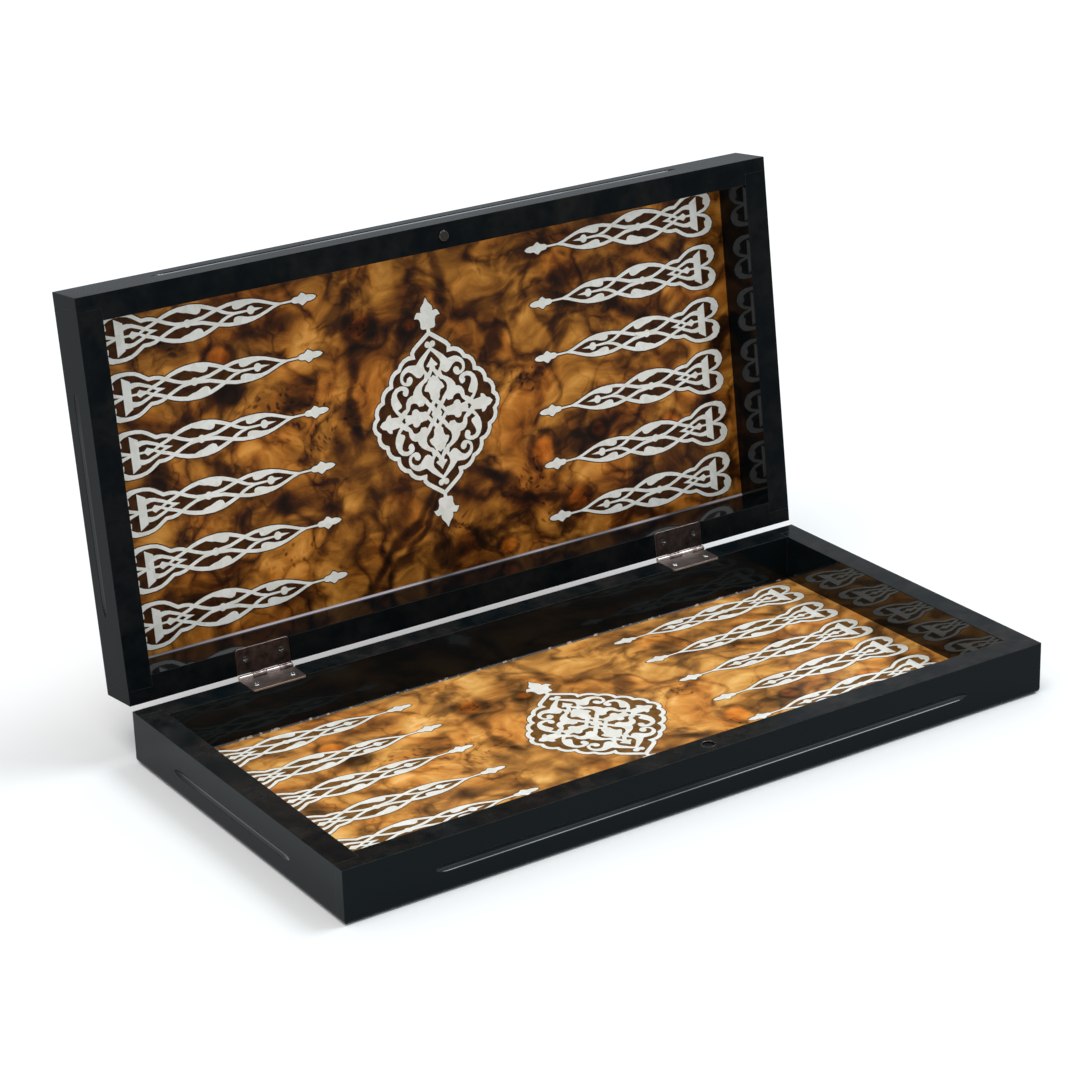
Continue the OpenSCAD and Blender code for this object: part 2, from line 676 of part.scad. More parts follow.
module hinge_pin() {
    color(bronze)
        translate([-hinge_l / 2, pin_y, pin_z])
            rotate([0, 90, 0])
                rotate_extrude($fn = 64)
                    polygon([[0, 0], [pin_r - pin_chamfer, 0], [pin_r, pin_chamfer],
                        [pin_r, hinge_l - pin_chamfer], [pin_r - pin_chamfer, hinge_l], [0, hinge_l]]);
}

// Countersunk wood screw, with the leaf's face at z = 0
module screw() {
    difference() {
        rotate_extrude($fn = 32)
            polygon([[0, -screw_l], [screw_r, screw_point_l - screw_l], [screw_r, -countersink_h],
                [screw_head_r, 0], [screw_head_r - head_bevel, head_proud], [0, head_proud]]);
        for (turn = [0, 90])
            rotate([0, 0, turn])
                translate([0, 0, head_proud])
                    cube([2 * (screw_head_r - 2 * head_bevel), cross_w, 2 * cross_depth], center = true);
    }
}

module hinge_screws() {
    color(steel)
        for (side = [-1, 1])
            translate([side * hinge_x, 0, 0]) at_screws() screw();
}

// CATCH

module catch_cup() {
    color(steel)
        translate([0, catch_y, tray_h - cup_h])
            difference() {
                cylinder(h = cup_h, r = cup_r, $fn = 64);
                translate([0, 0, cup_floor]) cylinder(h = cup_h, r = cup_r - cup_wall, $fn = 64);
            }
}

module catch_magnet() {
    color("#3a3c40")
        translate([0, catch_y, tray_h - cup_h + cup_floor])
            cylinder(h = magnet_t, r = cup_r - cup_wall - catch_fit, $fn = 64);
}

module catch_stud() {
    color(steel)
        translate([0, catch_y, tray_h - stud_l])
            rotate_extrude($fn = 64)
                polygon([[0, 0], [stud_r, 0], [stud_r, stud_l + stud_proud - stud_chamfer],
                    [stud_r - stud_chamfer, stud_l + stud_proud], [0, stud_l + stud_proud]]);
}

// Turns a tray part over on the hinge and opens it
module on_lid() {
    translate([0, pin_y, pin_z])
        rotate([180 - lid_angle, 0, 0])
            mirror([0, 1, 0])
                translate([0, -pin_y, -pin_z]) children();
}

front_rail(catch_r, cup_h);  // base_front_rail
back_rail();  // base_back_rail
left_rail();  // base_left_rail
right_rail();  // base_right_rail
back_veneer();  // base_back_veneer
core();  // base_core
burl_sheet(-1);  // base_burl_sheet
point_grounds();  // base_left_point_grounds
mirror([1, 0, 0]) point_grounds();  // base_right_point_grounds
points();  // base_left_points
mirror([1, 0, 0]) points();  // base_right_points
medallion_ground(-1);  // base_medallion_ground
medallion(-1);  // base_medallion

on_lid() front_rail(stud_r + catch_fit, stud_l);  // lid_front_rail
on_lid() back_rail();  // lid_back_rail
on_lid() left_rail();  // lid_left_rail
on_lid() right_rail();  // lid_right_rail
on_lid() back_veneer();  // lid_back_veneer
on_lid() core();  // lid_core
on_lid() burl_sheet(1);  // lid_burl_sheet
on_lid() point_grounds();  // lid_left_point_grounds
on_lid() mirror([1, 0, 0]) point_grounds();  // lid_right_point_grounds
on_lid() points();  // lid_left_points
on_lid() mirror([1, 0, 0]) points();  // lid_right_points
on_lid() medallion_ground(1);  // lid_medallion_ground
on_lid() medallion(1);  // lid_medallion

translate([-hinge_x, 0, 0]) leaf(0);  // left_hinge_base_leaf
translate([-hinge_x, 0, 0]) on_lid() leaf(1);  // left_hinge_lid_leaf
translate([-hinge_x, 0, 0]) hinge_pin();  // left_hinge_pin
translate([hinge_x, 0, 0]) leaf(0);  // right_hinge_base_leaf
translate([hinge_x, 0, 0]) on_lid() leaf(1);  // right_hinge_lid_leaf
translate([hinge_x, 0, 0]) hinge_pin();  // right_hinge_pin
hinge_screws();  // base_hinge_screws
on_lid() hinge_screws();  // lid_hinge_screws

catch_cup();
catch_magnet();
on_lid() catch_stud();
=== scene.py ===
# Backgammon board standing open: two equal trays hinged along one long edge.
# Lacquered rails frame a walnut burl panel inlaid with pearl points and a medallion.
# Metres. X runs along the hinge, +Y towards it and +Z up.

import json
import math

import bmesh
import bpy
from mathutils import Matrix, Vector


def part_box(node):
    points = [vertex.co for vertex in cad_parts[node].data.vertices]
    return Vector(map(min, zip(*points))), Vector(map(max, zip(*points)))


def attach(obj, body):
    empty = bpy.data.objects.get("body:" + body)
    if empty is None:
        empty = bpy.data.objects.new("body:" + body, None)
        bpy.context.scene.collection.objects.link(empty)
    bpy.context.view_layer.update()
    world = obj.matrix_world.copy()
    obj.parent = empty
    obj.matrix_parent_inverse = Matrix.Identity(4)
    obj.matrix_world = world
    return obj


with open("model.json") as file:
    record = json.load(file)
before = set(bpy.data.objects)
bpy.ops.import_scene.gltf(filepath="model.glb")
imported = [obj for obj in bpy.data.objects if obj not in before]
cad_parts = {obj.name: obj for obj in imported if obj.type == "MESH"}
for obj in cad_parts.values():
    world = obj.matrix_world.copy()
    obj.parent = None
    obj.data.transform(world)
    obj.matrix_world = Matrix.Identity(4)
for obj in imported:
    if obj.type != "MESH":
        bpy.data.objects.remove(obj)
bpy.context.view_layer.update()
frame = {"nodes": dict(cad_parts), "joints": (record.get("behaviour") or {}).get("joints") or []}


# Camera
# The photograph's own view, from the front left and a little above, found by fitting it to
# the corners of both trays.

MM = 0.001
camera_place = Vector((-901.18, -1342.61, 769.40)) * MM
camera_azimuth = math.radians(32.842)
camera_elevation = math.radians(21.890)
camera_roll = math.radians(-1.747)
# Film and lens in millimetres, and how far the camera sees in metres
film_width = 36
lens_length = 101.03
view_depth = 50

camera = bpy.data.objects.new("photograph_camera", bpy.data.cameras.new("photograph_camera"))
camera.data.sensor_width = film_width
camera.data.lens = lens_length
camera.data.clip_end = view_depth
camera.matrix_world = (
    Matrix.Translation(camera_place)
    @ Matrix.Rotation(-camera_azimuth, 4, "Z")
    @ Matrix.Rotation(math.pi / 2 - camera_elevation, 4, "X")
    @ Matrix.Rotation(camera_roll, 4, "Z")
)
bpy.context.scene.collection.objects.link(camera)
bpy.context.scene.camera = camera
bpy.context.scene.view_settings.view_transform = "Standard"


# Studio
# A white paper floor in an even, pale room, under two soft lamps: a wide one high up and a
# little to the left, and a smaller one to the right.

def linear(hex_colour):
    """An sRGB colour as written, in the linear values that Blender works in."""
    parts = [int(hex_colour[i:i + 2], 16) / 255 for i in (1, 3, 5)]
    return tuple(c / 12.92 if c <= 0.04045 else ((c + 0.055) / 1.055) ** 2.4 for c in parts) + (1.0,)


def new_material(name):
    """An empty node tree with its shader, ready for a pattern."""
    material = bpy.data.materials.new(name)
    material.use_nodes = True
    tree = material.node_tree
    return material, tree, tree.nodes["Principled BSDF"]


def fill(socket, value):
    """Sets a socket to a value, or links it to another socket or to a node's first output."""
    if isinstance(value, bpy.types.Node):
        value = value.outputs[0]
    if isinstance(value, bpy.types.NodeSocket):
        socket.id_data.links.new(value, socket)
    else:
        socket.default_value = value


def give(node, **looks):
    """Fills a node's sockets by name, with _ for a space."""
    for name, value in looks.items():
        fill(node.inputs[name.replace("_", " ")], value)


floor_size = 16
floor_drop = 0.2 * MM
paper_white = "#f6f7f7"
room_colour = "#e4e9ee"
room_strength = 0.75

mesh = bmesh.new()
bmesh.ops.create_grid(mesh, x_segments=1, y_segments=1, size=floor_size / 2,
                      matrix=Matrix.Translation((0, 0, -floor_drop)))
floor = bpy.data.objects.new("floor", bpy.data.meshes.new("floor"))
mesh.to_mesh(floor.data)
mesh.free()
bpy.context.scene.collection.objects.link(floor)
# White paper: matt, with no shine at all
material, tree, shader = new_material("white_paper")
give(shader, Base_Color=linear(paper_white), Roughness=1, Specular_IOR_Level=0)
floor.data.materials.append(material)

world = bpy.data.worlds.new("studio")
bpy.context.scene.world = world
world.use_nodes = True
give(world.node_tree.nodes["Background"], Color=linear(room_colour), Strength=room_strength)

# Each lamp lights a white surface that is square on to it to this share of full white
for name, share, colour, direction, width in (
    ("wide_lamp", 0.36, "#fffaf2", (-0.32, -0.12, 1), 35),
    ("small_lamp", 0.34, "#eaf3fa", (0.52, -0.1, 0.83), 24),
):
    lamp = bpy.data.objects.new(name, bpy.data.lights.new(name, "SUN"))
    lamp.data.energy = share * math.pi
    lamp.data.color = linear(colour)[:3]
    lamp.data.angle = math.radians(width)
    lamp.rotation_euler = Vector(direction).to_track_quat("Z", "Y").to_euler()
    bpy.context.scene.collection.objects.link(lamp)


# Rails
# Hardwood rails under black polyester lacquer: a soft sheen outside and a mirror on the inner
# walls. Each tray has four, the long ones rebated for the short, glued and lacquered as one.

lid_hinge = frame["joints"][0]
pin = Vector(lid_hinge["pos_m"]) / MM
lid_to_flat = -math.radians(lid_hinge["range_deg"][1])


def add(tree, kind, *inputs, tones=(), **settings):
    """Adds a node. Its inputs are filled in order, settings and other inputs by name, and a
    row of colours from its tones, each a position and a colour."""
    made = tree.nodes.new(kind)
    for name in [name for name in settings if hasattr(made, name)]:
        setattr(made, name, settings.pop(name))
    give(made, **settings)
    shown = [socket for socket in made.inputs if socket.enabled]
    for socket, value in zip(shown, inputs):
        fill(socket, value)
    if tones:
        row = made.color_ramp.elements
        while len(row) < len(tones):
            row.new(1)
        for stop, (position, colour) in zip(row, tones):
            stop.position = position
            stop.color = linear(colour)
    return made


def tray_place(tree, tray):
    """Millimetres on the lower tray. The lid is laid flat and moved onto it, with its front
    rail away from the viewer."""
    place = add(tree, "ShaderNodeTexCoord").outputs["Object"]
    if tray == "base":
        return add(tree, "ShaderNodeMapping", place, Scale=(1 / MM,) * 3)
    shift = pin - Matrix.Rotation(lid_to_flat, 3, "X") @ pin - Vector((0, 2 * pin.y, 0))
    return add(tree, "ShaderNodeMapping", place, Location=shift, Rotation=(lid_to_flat, 0, 0),
               Scale=(1 / MM,) * 3)


def within(tree, across, deep, reach_x, reach_y):
    """1 where a place lies nearer to the tray's middle than both reaches."""
    in_x = add(tree, "ShaderNodeMath", across, reach_x, operation="LESS_THAN")
    in_y = add(tree, "ShaderNodeMath", deep, reach_y, operation="LESS_THAN")
    return add(tree, "ShaderNodeMath", in_x, in_y, operation="MULTIPLY")


def rounded_edges(tree, radius):
    """The normal as if the edges were rounded to a radius in millimetres, and 1 along them."""
    rounded = add(tree, "ShaderNodeBevel", samples=4, Radius=radius * MM)
    flat = add(tree, "ShaderNodeNewGeometry").outputs["True Normal"]
    square_on = add(tree, "ShaderNodeVectorMath", rounded, flat, operation="DOT_PRODUCT")
    # The line is full where the normal is turned by 37 degrees or more, and ends at 14
    edge = add(tree, "ShaderNodeMapRange", square_on.outputs["Value"], 0.8, 0.97, 1, 0,
               interpolation_type="SMOOTHSTEP")
    return rounded, edge


def finish_nodes(material, *names):
    """Gives CAD nodes their material."""
    for name in names:
        piece = frame["nodes"][name]
        piece.data.materials.clear()
        piece.data.materials.append(material)


# The trays' measures, in millimetres from the middle of the base's underside
rim_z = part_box("base_front_rail")[1].z / MM
inner_x = -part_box("base_left_rail")[1].x / MM
inner_y = -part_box("base_front_rail")[1].y / MM
outer_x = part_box("base_front_rail")[1].x / MM
outer_y = -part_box("base_front_rail")[0].y / MM
edge_width = 0.5
# The polished lip of a flute lies between these heights and deeper than this in its rail
flute_lip = (11, 14.4)
flute_skin = 0.2
# Sizes of the wear along a flute, of dust and its drifts, and of the dull patches
wear_size = 90
dust_size = 9
drift_size = 40
dull_size = 60
# The thickest dust, on the row of tones that ends at 1 with the edges
most_dust = 0.7

# Black lacquer: a soft grey sheen outside, a mirror on the inner walls and along one lip of the
# flutes, dust on the rims, and a painted highlight: a paler line along every edge, where the
# rounded lacquer catches the light. The lid's colours are darker by painted shade, matched to the
# photograph's light, and it reflects less. "side" and "long" say how polished the inner walls of
# the side rails and of the long rails are.
lacquers = {
    "base": {"black": "#0a1215", "dusty": "#2a2826", "edge": "#3a4144",
             "ior": 1.165, "side": 1.0, "long": 0.12},
    "lid": {"black": "#080e11", "dusty": "#1c1c1b", "edge": "#303538",
            "ior": 1.09, "side": 0.6, "long": 0.4},
}
for tray, lacquer in lacquers.items():
    material, tree, shader = new_material(f"{tray}_black_lacquer")
    place = tray_place(tree, tray)
    x, y, height = add(tree, "ShaderNodeSeparateXYZ", place).outputs
    across = add(tree, "ShaderNodeMath", x, operation="ABSOLUTE")
    deep = add(tree, "ShaderNodeMath", y, operation="ABSOLUTE")

    off_rim = add(tree, "ShaderNodeMath", height, rim_z - edge_width, operation="LESS_THAN")
    inside = within(tree, across, deep, inner_x + edge_width, inner_y + edge_width)
    walls = add(tree, "ShaderNodeMath", inside, off_rim, operation="MULTIPLY")
    on_long_wall = add(tree, "ShaderNodeMath", across, inner_x - edge_width, operation="LESS_THAN")
    shine = add(tree, "ShaderNodeMath", on_long_wall, lacquer["long"] - lacquer["side"],
                lacquer["side"], operation="MULTIPLY_ADD")
    on_walls = add(tree, "ShaderNodeMath", walls, shine, operation="MULTIPLY")

    hollow = within(tree, across, deep, outer_x - flute_skin, outer_y - flute_skin)
    below_top = add(tree, "ShaderNodeMath", height, flute_lip[1], operation="LESS_THAN")
    below_lip = add(tree, "ShaderNodeMath", height, flute_lip[0], operation="LESS_THAN")
    on_lip = add(tree, "ShaderNodeMath", below_top, below_lip, operation="SUBTRACT")
    flute = add(tree, "ShaderNodeMath", hollow, on_lip, operation="MULTIPLY")
    wear = add(tree, "ShaderNodeTexNoise", Vector=place, Scale=1 / wear_size, Detail=3)
    worn = add(tree, "ShaderNodeMapRange", wear, 0.3, 0.5, 0.3, 1)
    in_flute = add(tree, "ShaderNodeMath", flute, worn, operation="MULTIPLY")
    polish = add(tree, "ShaderNodeMix", inside, in_flute, on_walls)

    specks = add(tree, "ShaderNodeTexNoise", Vector=place, Scale=1 / dust_size, Detail=3, Roughness=0.6)
    drifts = add(tree, "ShaderNodeTexNoise", Vector=place, Scale=1 / drift_size, Detail=2)
    marks = add(tree, "ShaderNodeMath", specks, drifts, operation="MULTIPLY")
    dust = add(tree, "ShaderNodeMapRange", marks, 0.15, 0.45, 0, most_dust)
    on_rim = add(tree, "ShaderNodeMath", 1, off_rim, operation="SUBTRACT")
    rim_dust = add(tree, "ShaderNodeMath", dust, on_rim, operation="MULTIPLY")
    rounded, edge = rounded_edges(tree, edge_width)
    tone = add(tree, "ShaderNodeMath", rim_dust, edge, operation="MAXIMUM")
    # The edge tone is a painted highlight, and the lid's three tones are painted shade
    colour = add(tree, "ShaderNodeValToRGB", tone, tones=(
        (0, lacquer["black"]), (most_dust, lacquer["dusty"]), (1, lacquer["edge"])))
    dull = add(tree, "ShaderNodeTexNoise", Vector=place, Scale=1 / dull_size, Detail=3)
    rough = add(tree, "ShaderNodeMapRange", dull, 0.3, 0.7, 0.12, 0.24)
    give(shader, Base_Color=colour, Roughness=rough, IOR=lacquer["ior"], Coat_Weight=polish,
         Coat_Roughness=0.03, Normal=rounded)
    finish_nodes(material, *[f"{tray}_{side}_rail" for side in ("front", "back", "left", "right")])

# Lacquer that has run together along the hinge side, where the panel meets the rail: a bead
# painted grey as a highlight, whole in the lid and broken to dashes in the base. Its line is swept
# a quarter round from the panel up the wall, and the lid's is turned over onto the lid.
bead_r = 1.1
bead_steps = 5
floor_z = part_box("base_burl_sheet")[1].z / MM
turned_over = Matrix.Rotation(-lid_to_flat, 3, "X") @ Matrix.Diagonal((1, -1, 1))
onto_lid = Matrix.Translation(pin) @ turned_over.to_4x4() @ Matrix.Translation(-pin)
for tray, patch_size, tones in (
    ("base", 5, ((0.56, "#15100d"), (0.64, "#a89c90"))),
    ("lid", 60, ((0.35, "#4a4448"), (0.6, "#b4acb2"))),
):
    material, tree, shader = new_material(f"{tray}_pooled_lacquer_highlight")
    place = add(tree, "ShaderNodeTexCoord").outputs["Object"]
    # The bead's grey is a painted highlight, broken into patches
    bead_highlight_patches = add(tree, "ShaderNodeTexNoise", Vector=place, Scale=1 / (patch_size * MM), Detail=2)
    colour = add(tree, "ShaderNodeValToRGB", bead_highlight_patches, tones=tones)
    give(shader, Base_Color=colour, Roughness=0.3)
    mesh = bmesh.new()
    ends = [mesh.verts.new((x, inner_y - bead_r, floor_z)) for x in (-inner_x, inner_x)]
    bmesh.ops.spin(mesh, geom=[mesh.edges.new(ends), *ends], axis=(1, 0, 0), angle=math.pi / 2,
                   cent=(0, inner_y - bead_r, floor_z + bead_r), steps=bead_steps)
    for face in mesh.faces:
        face.smooth = True
    if tray == "lid":
        bmesh.ops.transform(mesh, matrix=onto_lid, verts=mesh.verts)
        bmesh.ops.reverse_faces(mesh, faces=mesh.faces)
    bmesh.ops.scale(mesh, vec=(MM, MM, MM), verts=mesh.verts)
    bead = bpy.data.objects.new(f"{tray}_lacquer_bead", bpy.data.meshes.new(f"{tray}_lacquer_bead"))
    mesh.to_mesh(bead.data)
    mesh.free()
    bead.data.materials.append(material)
    bpy.context.scene.collection.objects.link(bead)
    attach(bead, tray)


# Panels
# Plywood faced on both sides with walnut burl veneer under clear lacquer, and let into the rails
# from the outer face. Both trays show one figure, as sheets sliced from one block do.

# How softly neighbouring spots run together, and a depth that every spot reaches through
spot_blend = 0.3
any_depth = 1000

# Dark veins that the eye finds first: centre, half length, half width, turn
dark_veins = [
    (-108, 77, 22, 5, 10), (-51, 64, 15, 7, -20), (-56, 17, 32, 2.5, 84), (-20, 53, 9, 4, 60),
    (-65, -24, 24, 6, -62), (-112, -33, 16, 6, 15), (-36, -78, 38, 2.5, 48), (-20, -70, 32, 2, 52),
    (9, 80, 30, 3, 88), (48, 42, 22, 4, 62), (70, 52, 18, 3, 5), (84, 40, 14, 3, -60),
    (92, 63, 42, 5, 4), (66, 5, 34, 3, 40), (30, -84, 28, 8, 12), (68, -70, 17, 6, -15),
    (124, -35, 22, 6, 5), (38, -49, 15, 5, -40), (-150, 40, 22, 5, 30), (-165, -60, 26, 6, -20),
    (160, 22, 26, 4, -35), (185, 70, 24, 5, 25), (150, -78, 28, 6, 12), (-190, 10, 18, 6, 70),
    (205, -20, 20, 5, 75), (-140, -88, 26, 5, 0),
]
# Knots, light patches and clusters of eyes, in the same way
knots = [
    (-143, 62, 9, 8, 0), (74, -41, 9, 10, 0), (97, -78, 10, 9, 0), (-14, 57, 6, 5, 0),
    (172, -44, 8, 7, 0), (-48, 62, 10, 9, 0), (117, -37, 6, 6, 0), (42, -96, 7, 6, 0),
]
light_patches = [
    (62, -5, 30, 16, 35), (-108, -8, 26, 16, 0), (-62, -36, 18, 14, 40), (100, 5, 30, 14, 20),
    (58, 40, 12, 16, -20), (22, 78, 12, 16, 0), (-112, -66, 24, 12, 0), (-84, 60, 16, 12, 0),
    (110, -62, 16, 12, 0), (-190, -50, 20, 14, 0), (190, -10, 20, 24, 0), (168, 60, 16, 12, 0),
    (-178, 40, 18, 12, 0),
]
eye_clusters = [
    (-83, 11, 28, 20, -10), (-114, 29, 18, 12, 0), (-48, 62, 12, 10, 0), (-105, -62, 22, 12, 10),
    (66, 8, 14, 12, 30), (-168, 84, 20, 12, 0), (140, 45, 18, 14, 0), (64, -56, 12, 11, 0),
    (73, -79, 12, 9, 0), (12, -74, 12, 8, 0),
]


def stirred(tree, place, size, reach):
    """The place pushed about by a cloudy pattern of that size, by up to about half the reach."""
    drift = add(tree, "ShaderNodeTexNoise", Vector=place, Scale=1 / size, Detail=1)
    push = add(tree, "ShaderNodeVectorMath", drift.outputs[1], (-0.5, -0.5, -0.5), operation="ADD")
    push = add(tree, "ShaderNodeVectorMath", push, operation="SCALE", Scale=reach)
    return add(tree, "ShaderNodeVectorMath", place, push, operation="ADD")


def spots(tree, place, shapes):
    """Distance from the nearest of some ellipses, in their own radii."""
    nearest = None
    for x, y, long, wide, turn in shapes:
        shape = add(tree, "ShaderNodeMapping", place, vector_type="TEXTURE", Location=(x, y, 0),
                    Rotation=(0, 0, math.radians(turn)), Scale=(long, wide, any_depth))
        off = add(tree, "ShaderNodeVectorMath", shape, operation="LENGTH").outputs["Value"]
        if nearest is not None:
            off = add(tree, "ShaderNodeMath", nearest, off, spot_blend, operation="SMOOTH_MIN")
        nearest = off
    return nearest


def near(tree, value, middle, reach):
    """1 where the value is in the middle, and softly down to 0 at its reach to either side."""
    off = add(tree, "ShaderNodeMath", value, middle, operation="SUBTRACT")
    off = add(tree, "ShaderNodeMath", off, operation="ABSOLUTE")
    return add(tree, "ShaderNodeMapRange", off, 0, reach, 1, 0, interpolation_type="SMOOTHSTEP")


def burl_figure(tree, place):
    """How light the wood is, from soft clouds, veins, knots and clusters of eyes, and where it
    reddens. Sizes are in millimetres."""
    swirled = stirred(tree, place, 60, 52)
    curled = stirred(tree, swirled, 18, 15)
    ragged = stirred(tree, stirred(tree, place, 34, 22), 9, 6)
    along = add(tree, "ShaderNodeMapping", curled, Scale=(1 / 2, 1, 1))
    # Real pores are a few tenths of a millimetre across, too fine to show, and are drawn coarser
    clouds = {}
    for name, at, size, detail, roughness in (
        ("large", curled, 34, 2, 0.5),
        ("flames", along, 7, 2, 0.4),
        ("pores", along, 1.1, 2, 0.5),
        ("veins", ragged, 44, 1, 0.5),
        ("thin_veins", ragged, 21, 2, 0.5),
        ("patches", place, 38, 1, 0.5),
        ("reds", curled, 48, 2, 0.5),
    ):
        clouds[name] = add(tree, "ShaderNodeTexNoise", Vector=at, Scale=1 / size, Detail=detail,
                           Roughness=roughness)

    eye_size = 5
    dots = add(tree, "ShaderNodeTexVoronoi", Vector=stirred(tree, curled, eye_size, 2),
               Scale=1 / eye_size)
    knot = spots(tree, stirred(tree, place, 12, 5), knots)
    # Each is 1 at the first value and fades to 0 at the second
    soft = {}
    for name, value, start, end in (
        ("dots", dots, 0.1, 0.4),
        ("eye_clusters", spots(tree, ragged, eye_clusters), 0.5, 1.3),
        ("dark_veins", spots(tree, ragged, dark_veins), 0.2, 2.1),
        ("thin_patches", clouds["patches"], 0.62, 0.4),
        ("light_patches", spots(tree, swirled, light_patches), 0.2, 1.8),
        ("knot_hearts", knot, 0.4, 1),
        ("red_knots", knot, 0.5, 1.3),
    ):
        soft[name] = add(tree, "ShaderNodeMapRange", value, start, end, 1, 0,
                         interpolation_type="SMOOTHSTEP")

    # A vein runs where its cloud passes through the middle of its range
    middle = 0.5
    eyes = add(tree, "ShaderNodeMath", soft["dots"], soft["eye_clusters"], operation="MULTIPLY")
    thin_veins = add(tree, "ShaderNodeMath", near(tree, clouds["thin_veins"], middle, 0.05),
                     soft["thin_patches"], operation="MULTIPLY")
    # Each part lightens the wood, or darkens it where its weight is below 0
    layers = [
        (clouds["large"], 1.1), (clouds["flames"], 0.5), (clouds["pores"], 0.13),
        (soft["dark_veins"], -0.27),
        (near(tree, clouds["veins"], middle, 0.07), -0.18),
        (near(tree, clouds["veins"], middle, 0.015), -0.05),
        (thin_veins, -0.12),
        (near(tree, knot, 1.05, 0.5), -0.16),
        (eyes, -0.22),
        (soft["light_patches"], 0.13),
        (soft["knot_hearts"], 0.05),
    ]
    tone = -0.26
    for part, weight in layers:
        tone = add(tree, "ShaderNodeMath", part, weight, tone, operation="MULTIPLY_ADD")
    red_heart = add(tree, "ShaderNodeMapRange", clouds["reds"], 0.45, 0.62, 0, 0.45)
    return tone, add(tree, "ShaderNodeMath", soft["red_knots"], red_heart, operation="MAXIMUM")


# Burl veneer under clear lacquer: golden brown that darkens along the veins and in the eyes and
# reddens in the knots. The lid's tones are darker by painted shade, matched to the photograph's light.
burl_tones = {
    "base": [(0.02, "#3c2918"), (0.20, "#5e4224"), (0.36, "#845a30"), (0.50, "#a9743a"),
             (0.62, "#cd9048"), (0.74, "#e1a656"), (0.95, "#fbca7e")],
    "lid": [(0.02, "#160c06"), (0.20, "#26150b"), (0.36, "#46260f"), (0.50, "#724417"),
            (0.62, "#9e6425"), (0.74, "#c28032"), (0.95, "#ecaa52")],
}
knot_red = "#ffd2a8"
for tray, tones in burl_tones.items():
    material, tree, shader = new_material(f"{tray}_walnut_burl")
    figure, red = burl_figure(tree, tray_place(tree, tray))
    brown = add(tree, "ShaderNodeValToRGB", figure, tones=tones)
    reddened = add(tree, "ShaderNodeMix", red, brown, linear(knot_red), data_type="RGBA",
                   blend_type="MULTIPLY")
    give(shader, Base_Color=reddened.outputs[2], Roughness=0.22, IOR=1.15)
    finish_nodes(material, f"{tray}_burl_sheet", f"{tray}_back_veneer")

# Bare birch plywood, hidden between the veneers: pale, dry and a little mottled
ply_mottle = 2 * MM
material, tree, shader = new_material("birch_plywood")
place = add(tree, "ShaderNodeTexCoord").outputs["Object"]
mottle = add(tree, "ShaderNodeTexNoise", Vector=place, Scale=1 / ply_mottle, Detail=3)
colour = add(tree, "ShaderNodeValToRGB", mottle, tones=((0, "#8a6238"), (1, "#d4b07a")))
give(shader, Base_Color=colour, Roughness=0.7)
finish_nodes(material, "base_core", "lid_core")


# Inlay
# Fretted mother-of-pearl, glued in short facets onto a dark stained veneer that is let into
# the burl and shows as a thin margin round it.

# Stained burl veneer under clear lacquer: dark brown and faintly mottled. The lid's is darker by
# painted shade, matched to the photograph's light.
stain_mottle = 5 * MM
for tray, dark, light in (("base", "#5e3e1e", "#8a6232"), ("lid", "#2c160a", "#54300f")):
    material, tree, shader = new_material(f"{tray}_stained_veneer")
    place = add(tree, "ShaderNodeTexCoord").outputs["Object"]
    mottle = add(tree, "ShaderNodeTexNoise", Vector=place, Scale=1 / stain_mottle, Detail=4)
    colour = add(tree, "ShaderNodeValToRGB", mottle, tones=((0.3, dark), (0.7, light)))
    give(shader, Base_Color=colour, Roughness=0.3, IOR=1.15)
    finish_nodes(material, *[f"{tray}_{piece}" for piece in (
        "left_point_grounds", "right_point_grounds", "medallion_ground")])

# Mother-of-pearl, sawn and polished: white facets that differ a little in tint and are faintly
# clouded, with a brown line of glue along the sawn edge. The polished face is the one whose
# direction has at least this much of the tray's own upright in it.
facet_size = 5 * MM
haze_size = 2.5 * MM
haze_share = 0.4
polished_from = 0.7
glue_brown = "#4c3018"
for tray, turn in (("base", 0), ("lid", -lid_to_flat)):
    material, tree, shader = new_material(f"{tray}_mother_of_pearl")
    coordinates = add(tree, "ShaderNodeTexCoord").outputs
    facets = add(tree, "ShaderNodeTexVoronoi", Vector=coordinates["Object"], Scale=1 / facet_size)
    shade = add(tree, "ShaderNodeSeparateColor", facets.outputs[1])
    haze = add(tree, "ShaderNodeTexNoise", Vector=coordinates["Object"], Scale=1 / haze_size, Detail=3)
    haze = add(tree, "ShaderNodeMath", haze, haze_share, operation="MULTIPLY")
    tone = add(tree, "ShaderNodeMath", shade, 1 - haze_share, haze, operation="MULTIPLY_ADD")
    white = add(tree, "ShaderNodeValToRGB", tone, tones=((0, "#e6e6da"), (1, "#fffffa")))
    face = Matrix.Rotation(turn, 3, "X") @ Vector((0, 0, 1))
    level = add(tree, "ShaderNodeVectorMath", coordinates["Normal"], face, operation="DOT_PRODUCT")
    sawn = add(tree, "ShaderNodeMath", level.outputs["Value"], polished_from, operation="LESS_THAN")
    glued = add(tree, "ShaderNodeMix", sawn, white, linear(glue_brown), data_type="RGBA")
    give(shader, Base_Color=glued.outputs[2], Roughness=0.25)
    finish_nodes(material, *[f"{tray}_{piece}" for piece in ("left_points", "right_points", "medallion")])


# Hinges
# Brass butt hinges with an antique bronze finish, rubbed paler along their edges, with a painted
# highlight there and on the knuckles. Each leaf lies in a mortise, held by two countersunk screws of
# plain steel.

# All that lies this near to the pin gets the knuckles' painted highlight
knuckle_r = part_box("left_hinge_base_leaf")[1].y - pin.y * MM
knuckle_reach = knuckle_r * 1.1
leaf_edge = 0.35
tarnish_size = 5 * MM
palest_tarnish = 0.4
worn_and_highlight_bronze = "#e0ccc4"
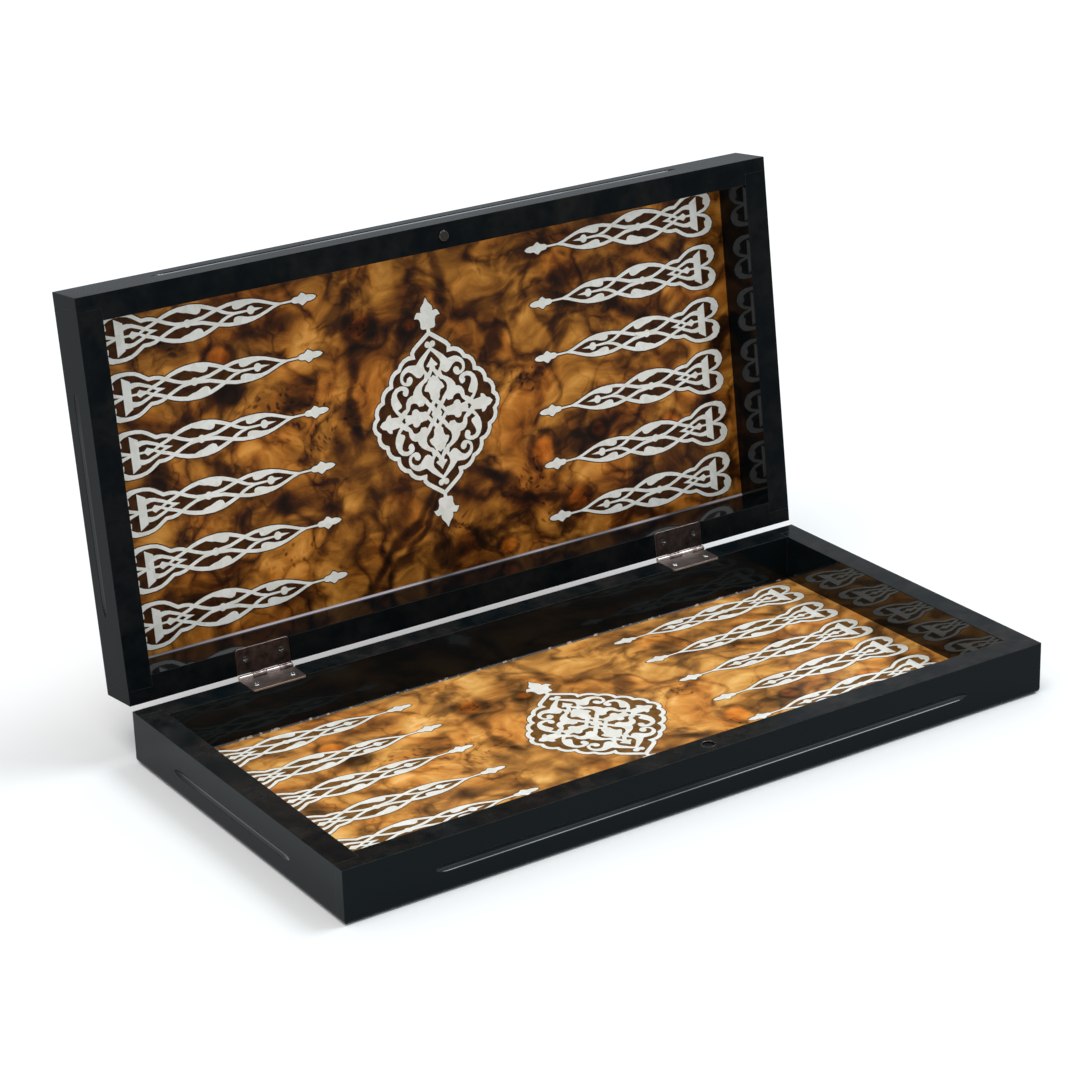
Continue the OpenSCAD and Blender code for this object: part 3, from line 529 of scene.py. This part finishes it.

# Antique bronze: a satin brown with paler clouds on the leaves, paler edges from wear with a
# painted highlight, and glossier knuckles painted bright as a highlight. The lid's is darker by
# painted shade, matched to the photograph's light.
for tray, dark, light in (("base", "#847873", "#aca09a"), ("lid", "#2c2422", "#544844")):
    material, tree, shader = new_material(f"{tray}_antique_bronze")
    place = add(tree, "ShaderNodeTexCoord").outputs["Object"]
    from_pin = add(tree, "ShaderNodeMapping", place, Location=(0, -pin.y * MM, -pin.z * MM),
                   Scale=(0, 1, 1))
    off_pin = add(tree, "ShaderNodeVectorMath", from_pin, operation="LENGTH").outputs["Value"]
    knuckle = add(tree, "ShaderNodeMath", off_pin, knuckle_reach, operation="LESS_THAN")
    rounded, edge = rounded_edges(tree, leaf_edge)
    patches = add(tree, "ShaderNodeTexNoise", Vector=place, Scale=1 / tarnish_size, Detail=4)
    tarnish = add(tree, "ShaderNodeMapRange", patches, 0.3, 0.75, 0, palest_tarnish)
    # The knuckles' pale patches are a painted highlight
    knuckle_highlight_patches = add(tree, "ShaderNodeMapRange", patches, 0, 1.1, 1, 0, interpolation_type="SMOOTHSTEP")
    knuckle_highlight = add(tree, "ShaderNodeMath", knuckle, knuckle_highlight_patches, operation="MULTIPLY")
    # The paler edges are partly wear and partly a painted highlight
    tone = add(tree, "ShaderNodeMath", tarnish, edge, operation="MAXIMUM")
    tone = add(tree, "ShaderNodeMath", tone, knuckle_highlight, operation="MAXIMUM")
    colour = add(tree, "ShaderNodeValToRGB", tone, tones=(
        (0, dark), (palest_tarnish, light), (1, worn_and_highlight_bronze)))
    rough = add(tree, "ShaderNodeMapRange", knuckle, 0, 1, 0.42, 0.26)
    give(shader, Base_Color=colour, Metallic=1, Roughness=rough, Normal=rounded)
    finish_nodes(material, f"left_hinge_{tray}_leaf", f"right_hinge_{tray}_leaf")
# The pins show only at the knuckles' ends, and take the lid leaves' bronze
finish_nodes(material, "left_hinge_pin", "right_hinge_pin")

# Plain steel: grey, with a painted highlight on the edges of a screw's head and of its cross. The
# lid's is darker by painted shade, matched to the photograph's light.
screw_edge = 0.25
for tray, grey in (("base", "#c4c8c8"), ("lid", "#343434")):
    material, tree, shader = new_material(f"{tray}_plain_steel")
    rounded, edge = rounded_edges(tree, screw_edge)
    # The pale grey along the edges is a painted highlight
    colour = add(tree, "ShaderNodeValToRGB", edge, tones=((0, grey), (1, "#e0e4e4")))
    give(shader, Base_Color=colour, Metallic=1, Roughness=0.25, Normal=rounded)
    finish_nodes(material, f"{tray}_hinge_screws")


# Catch
# A magnet in a turned steel cup, let into a round pocket in the middle of the lower front rail,
# and a turned steel stud in the upper one, which reaches into the cup when the board is shut.

# Turned steel: dark, with a painted highlight on its rim. Its turning marks are too fine to show,
# and are drawn as coarser patches that are more and less dull.
turned_edge = 0.4
turning_size = 0.8 * MM
material, tree, shader = new_material("turned_steel")
place = add(tree, "ShaderNodeTexCoord").outputs["Object"]
rounded, edge = rounded_edges(tree, turned_edge)
turning = add(tree, "ShaderNodeTexNoise", Vector=place, Scale=1 / turning_size, Detail=2)
rough = add(tree, "ShaderNodeMapRange", turning, 0.3, 0.7, 0.22, 0.38)
# The rim's pale tone is a painted highlight
colour = add(tree, "ShaderNodeValToRGB", edge, tones=((0, "#34302c"), (1, "#b0aca4")))
give(shader, Base_Color=colour, Metallic=1, Roughness=rough, Normal=rounded)
finish_nodes(material, "catch_cup", "catch_stud")

# Dark nickel plate on a magnet: near black and dull, a little clouded by handling
mark_size = 1.2 * MM
material, tree, shader = new_material("nickel_plated_magnet")
place = add(tree, "ShaderNodeTexCoord").outputs["Object"]
marks = add(tree, "ShaderNodeTexNoise", Vector=place, Scale=1 / mark_size, Detail=3)
colour = add(tree, "ShaderNodeValToRGB", marks, tones=((0, "#16181a"), (1, "#3c3e40")))
give(shader, Base_Color=colour, Metallic=1, Roughness=0.45)
finish_nodes(material, "catch_magnet")
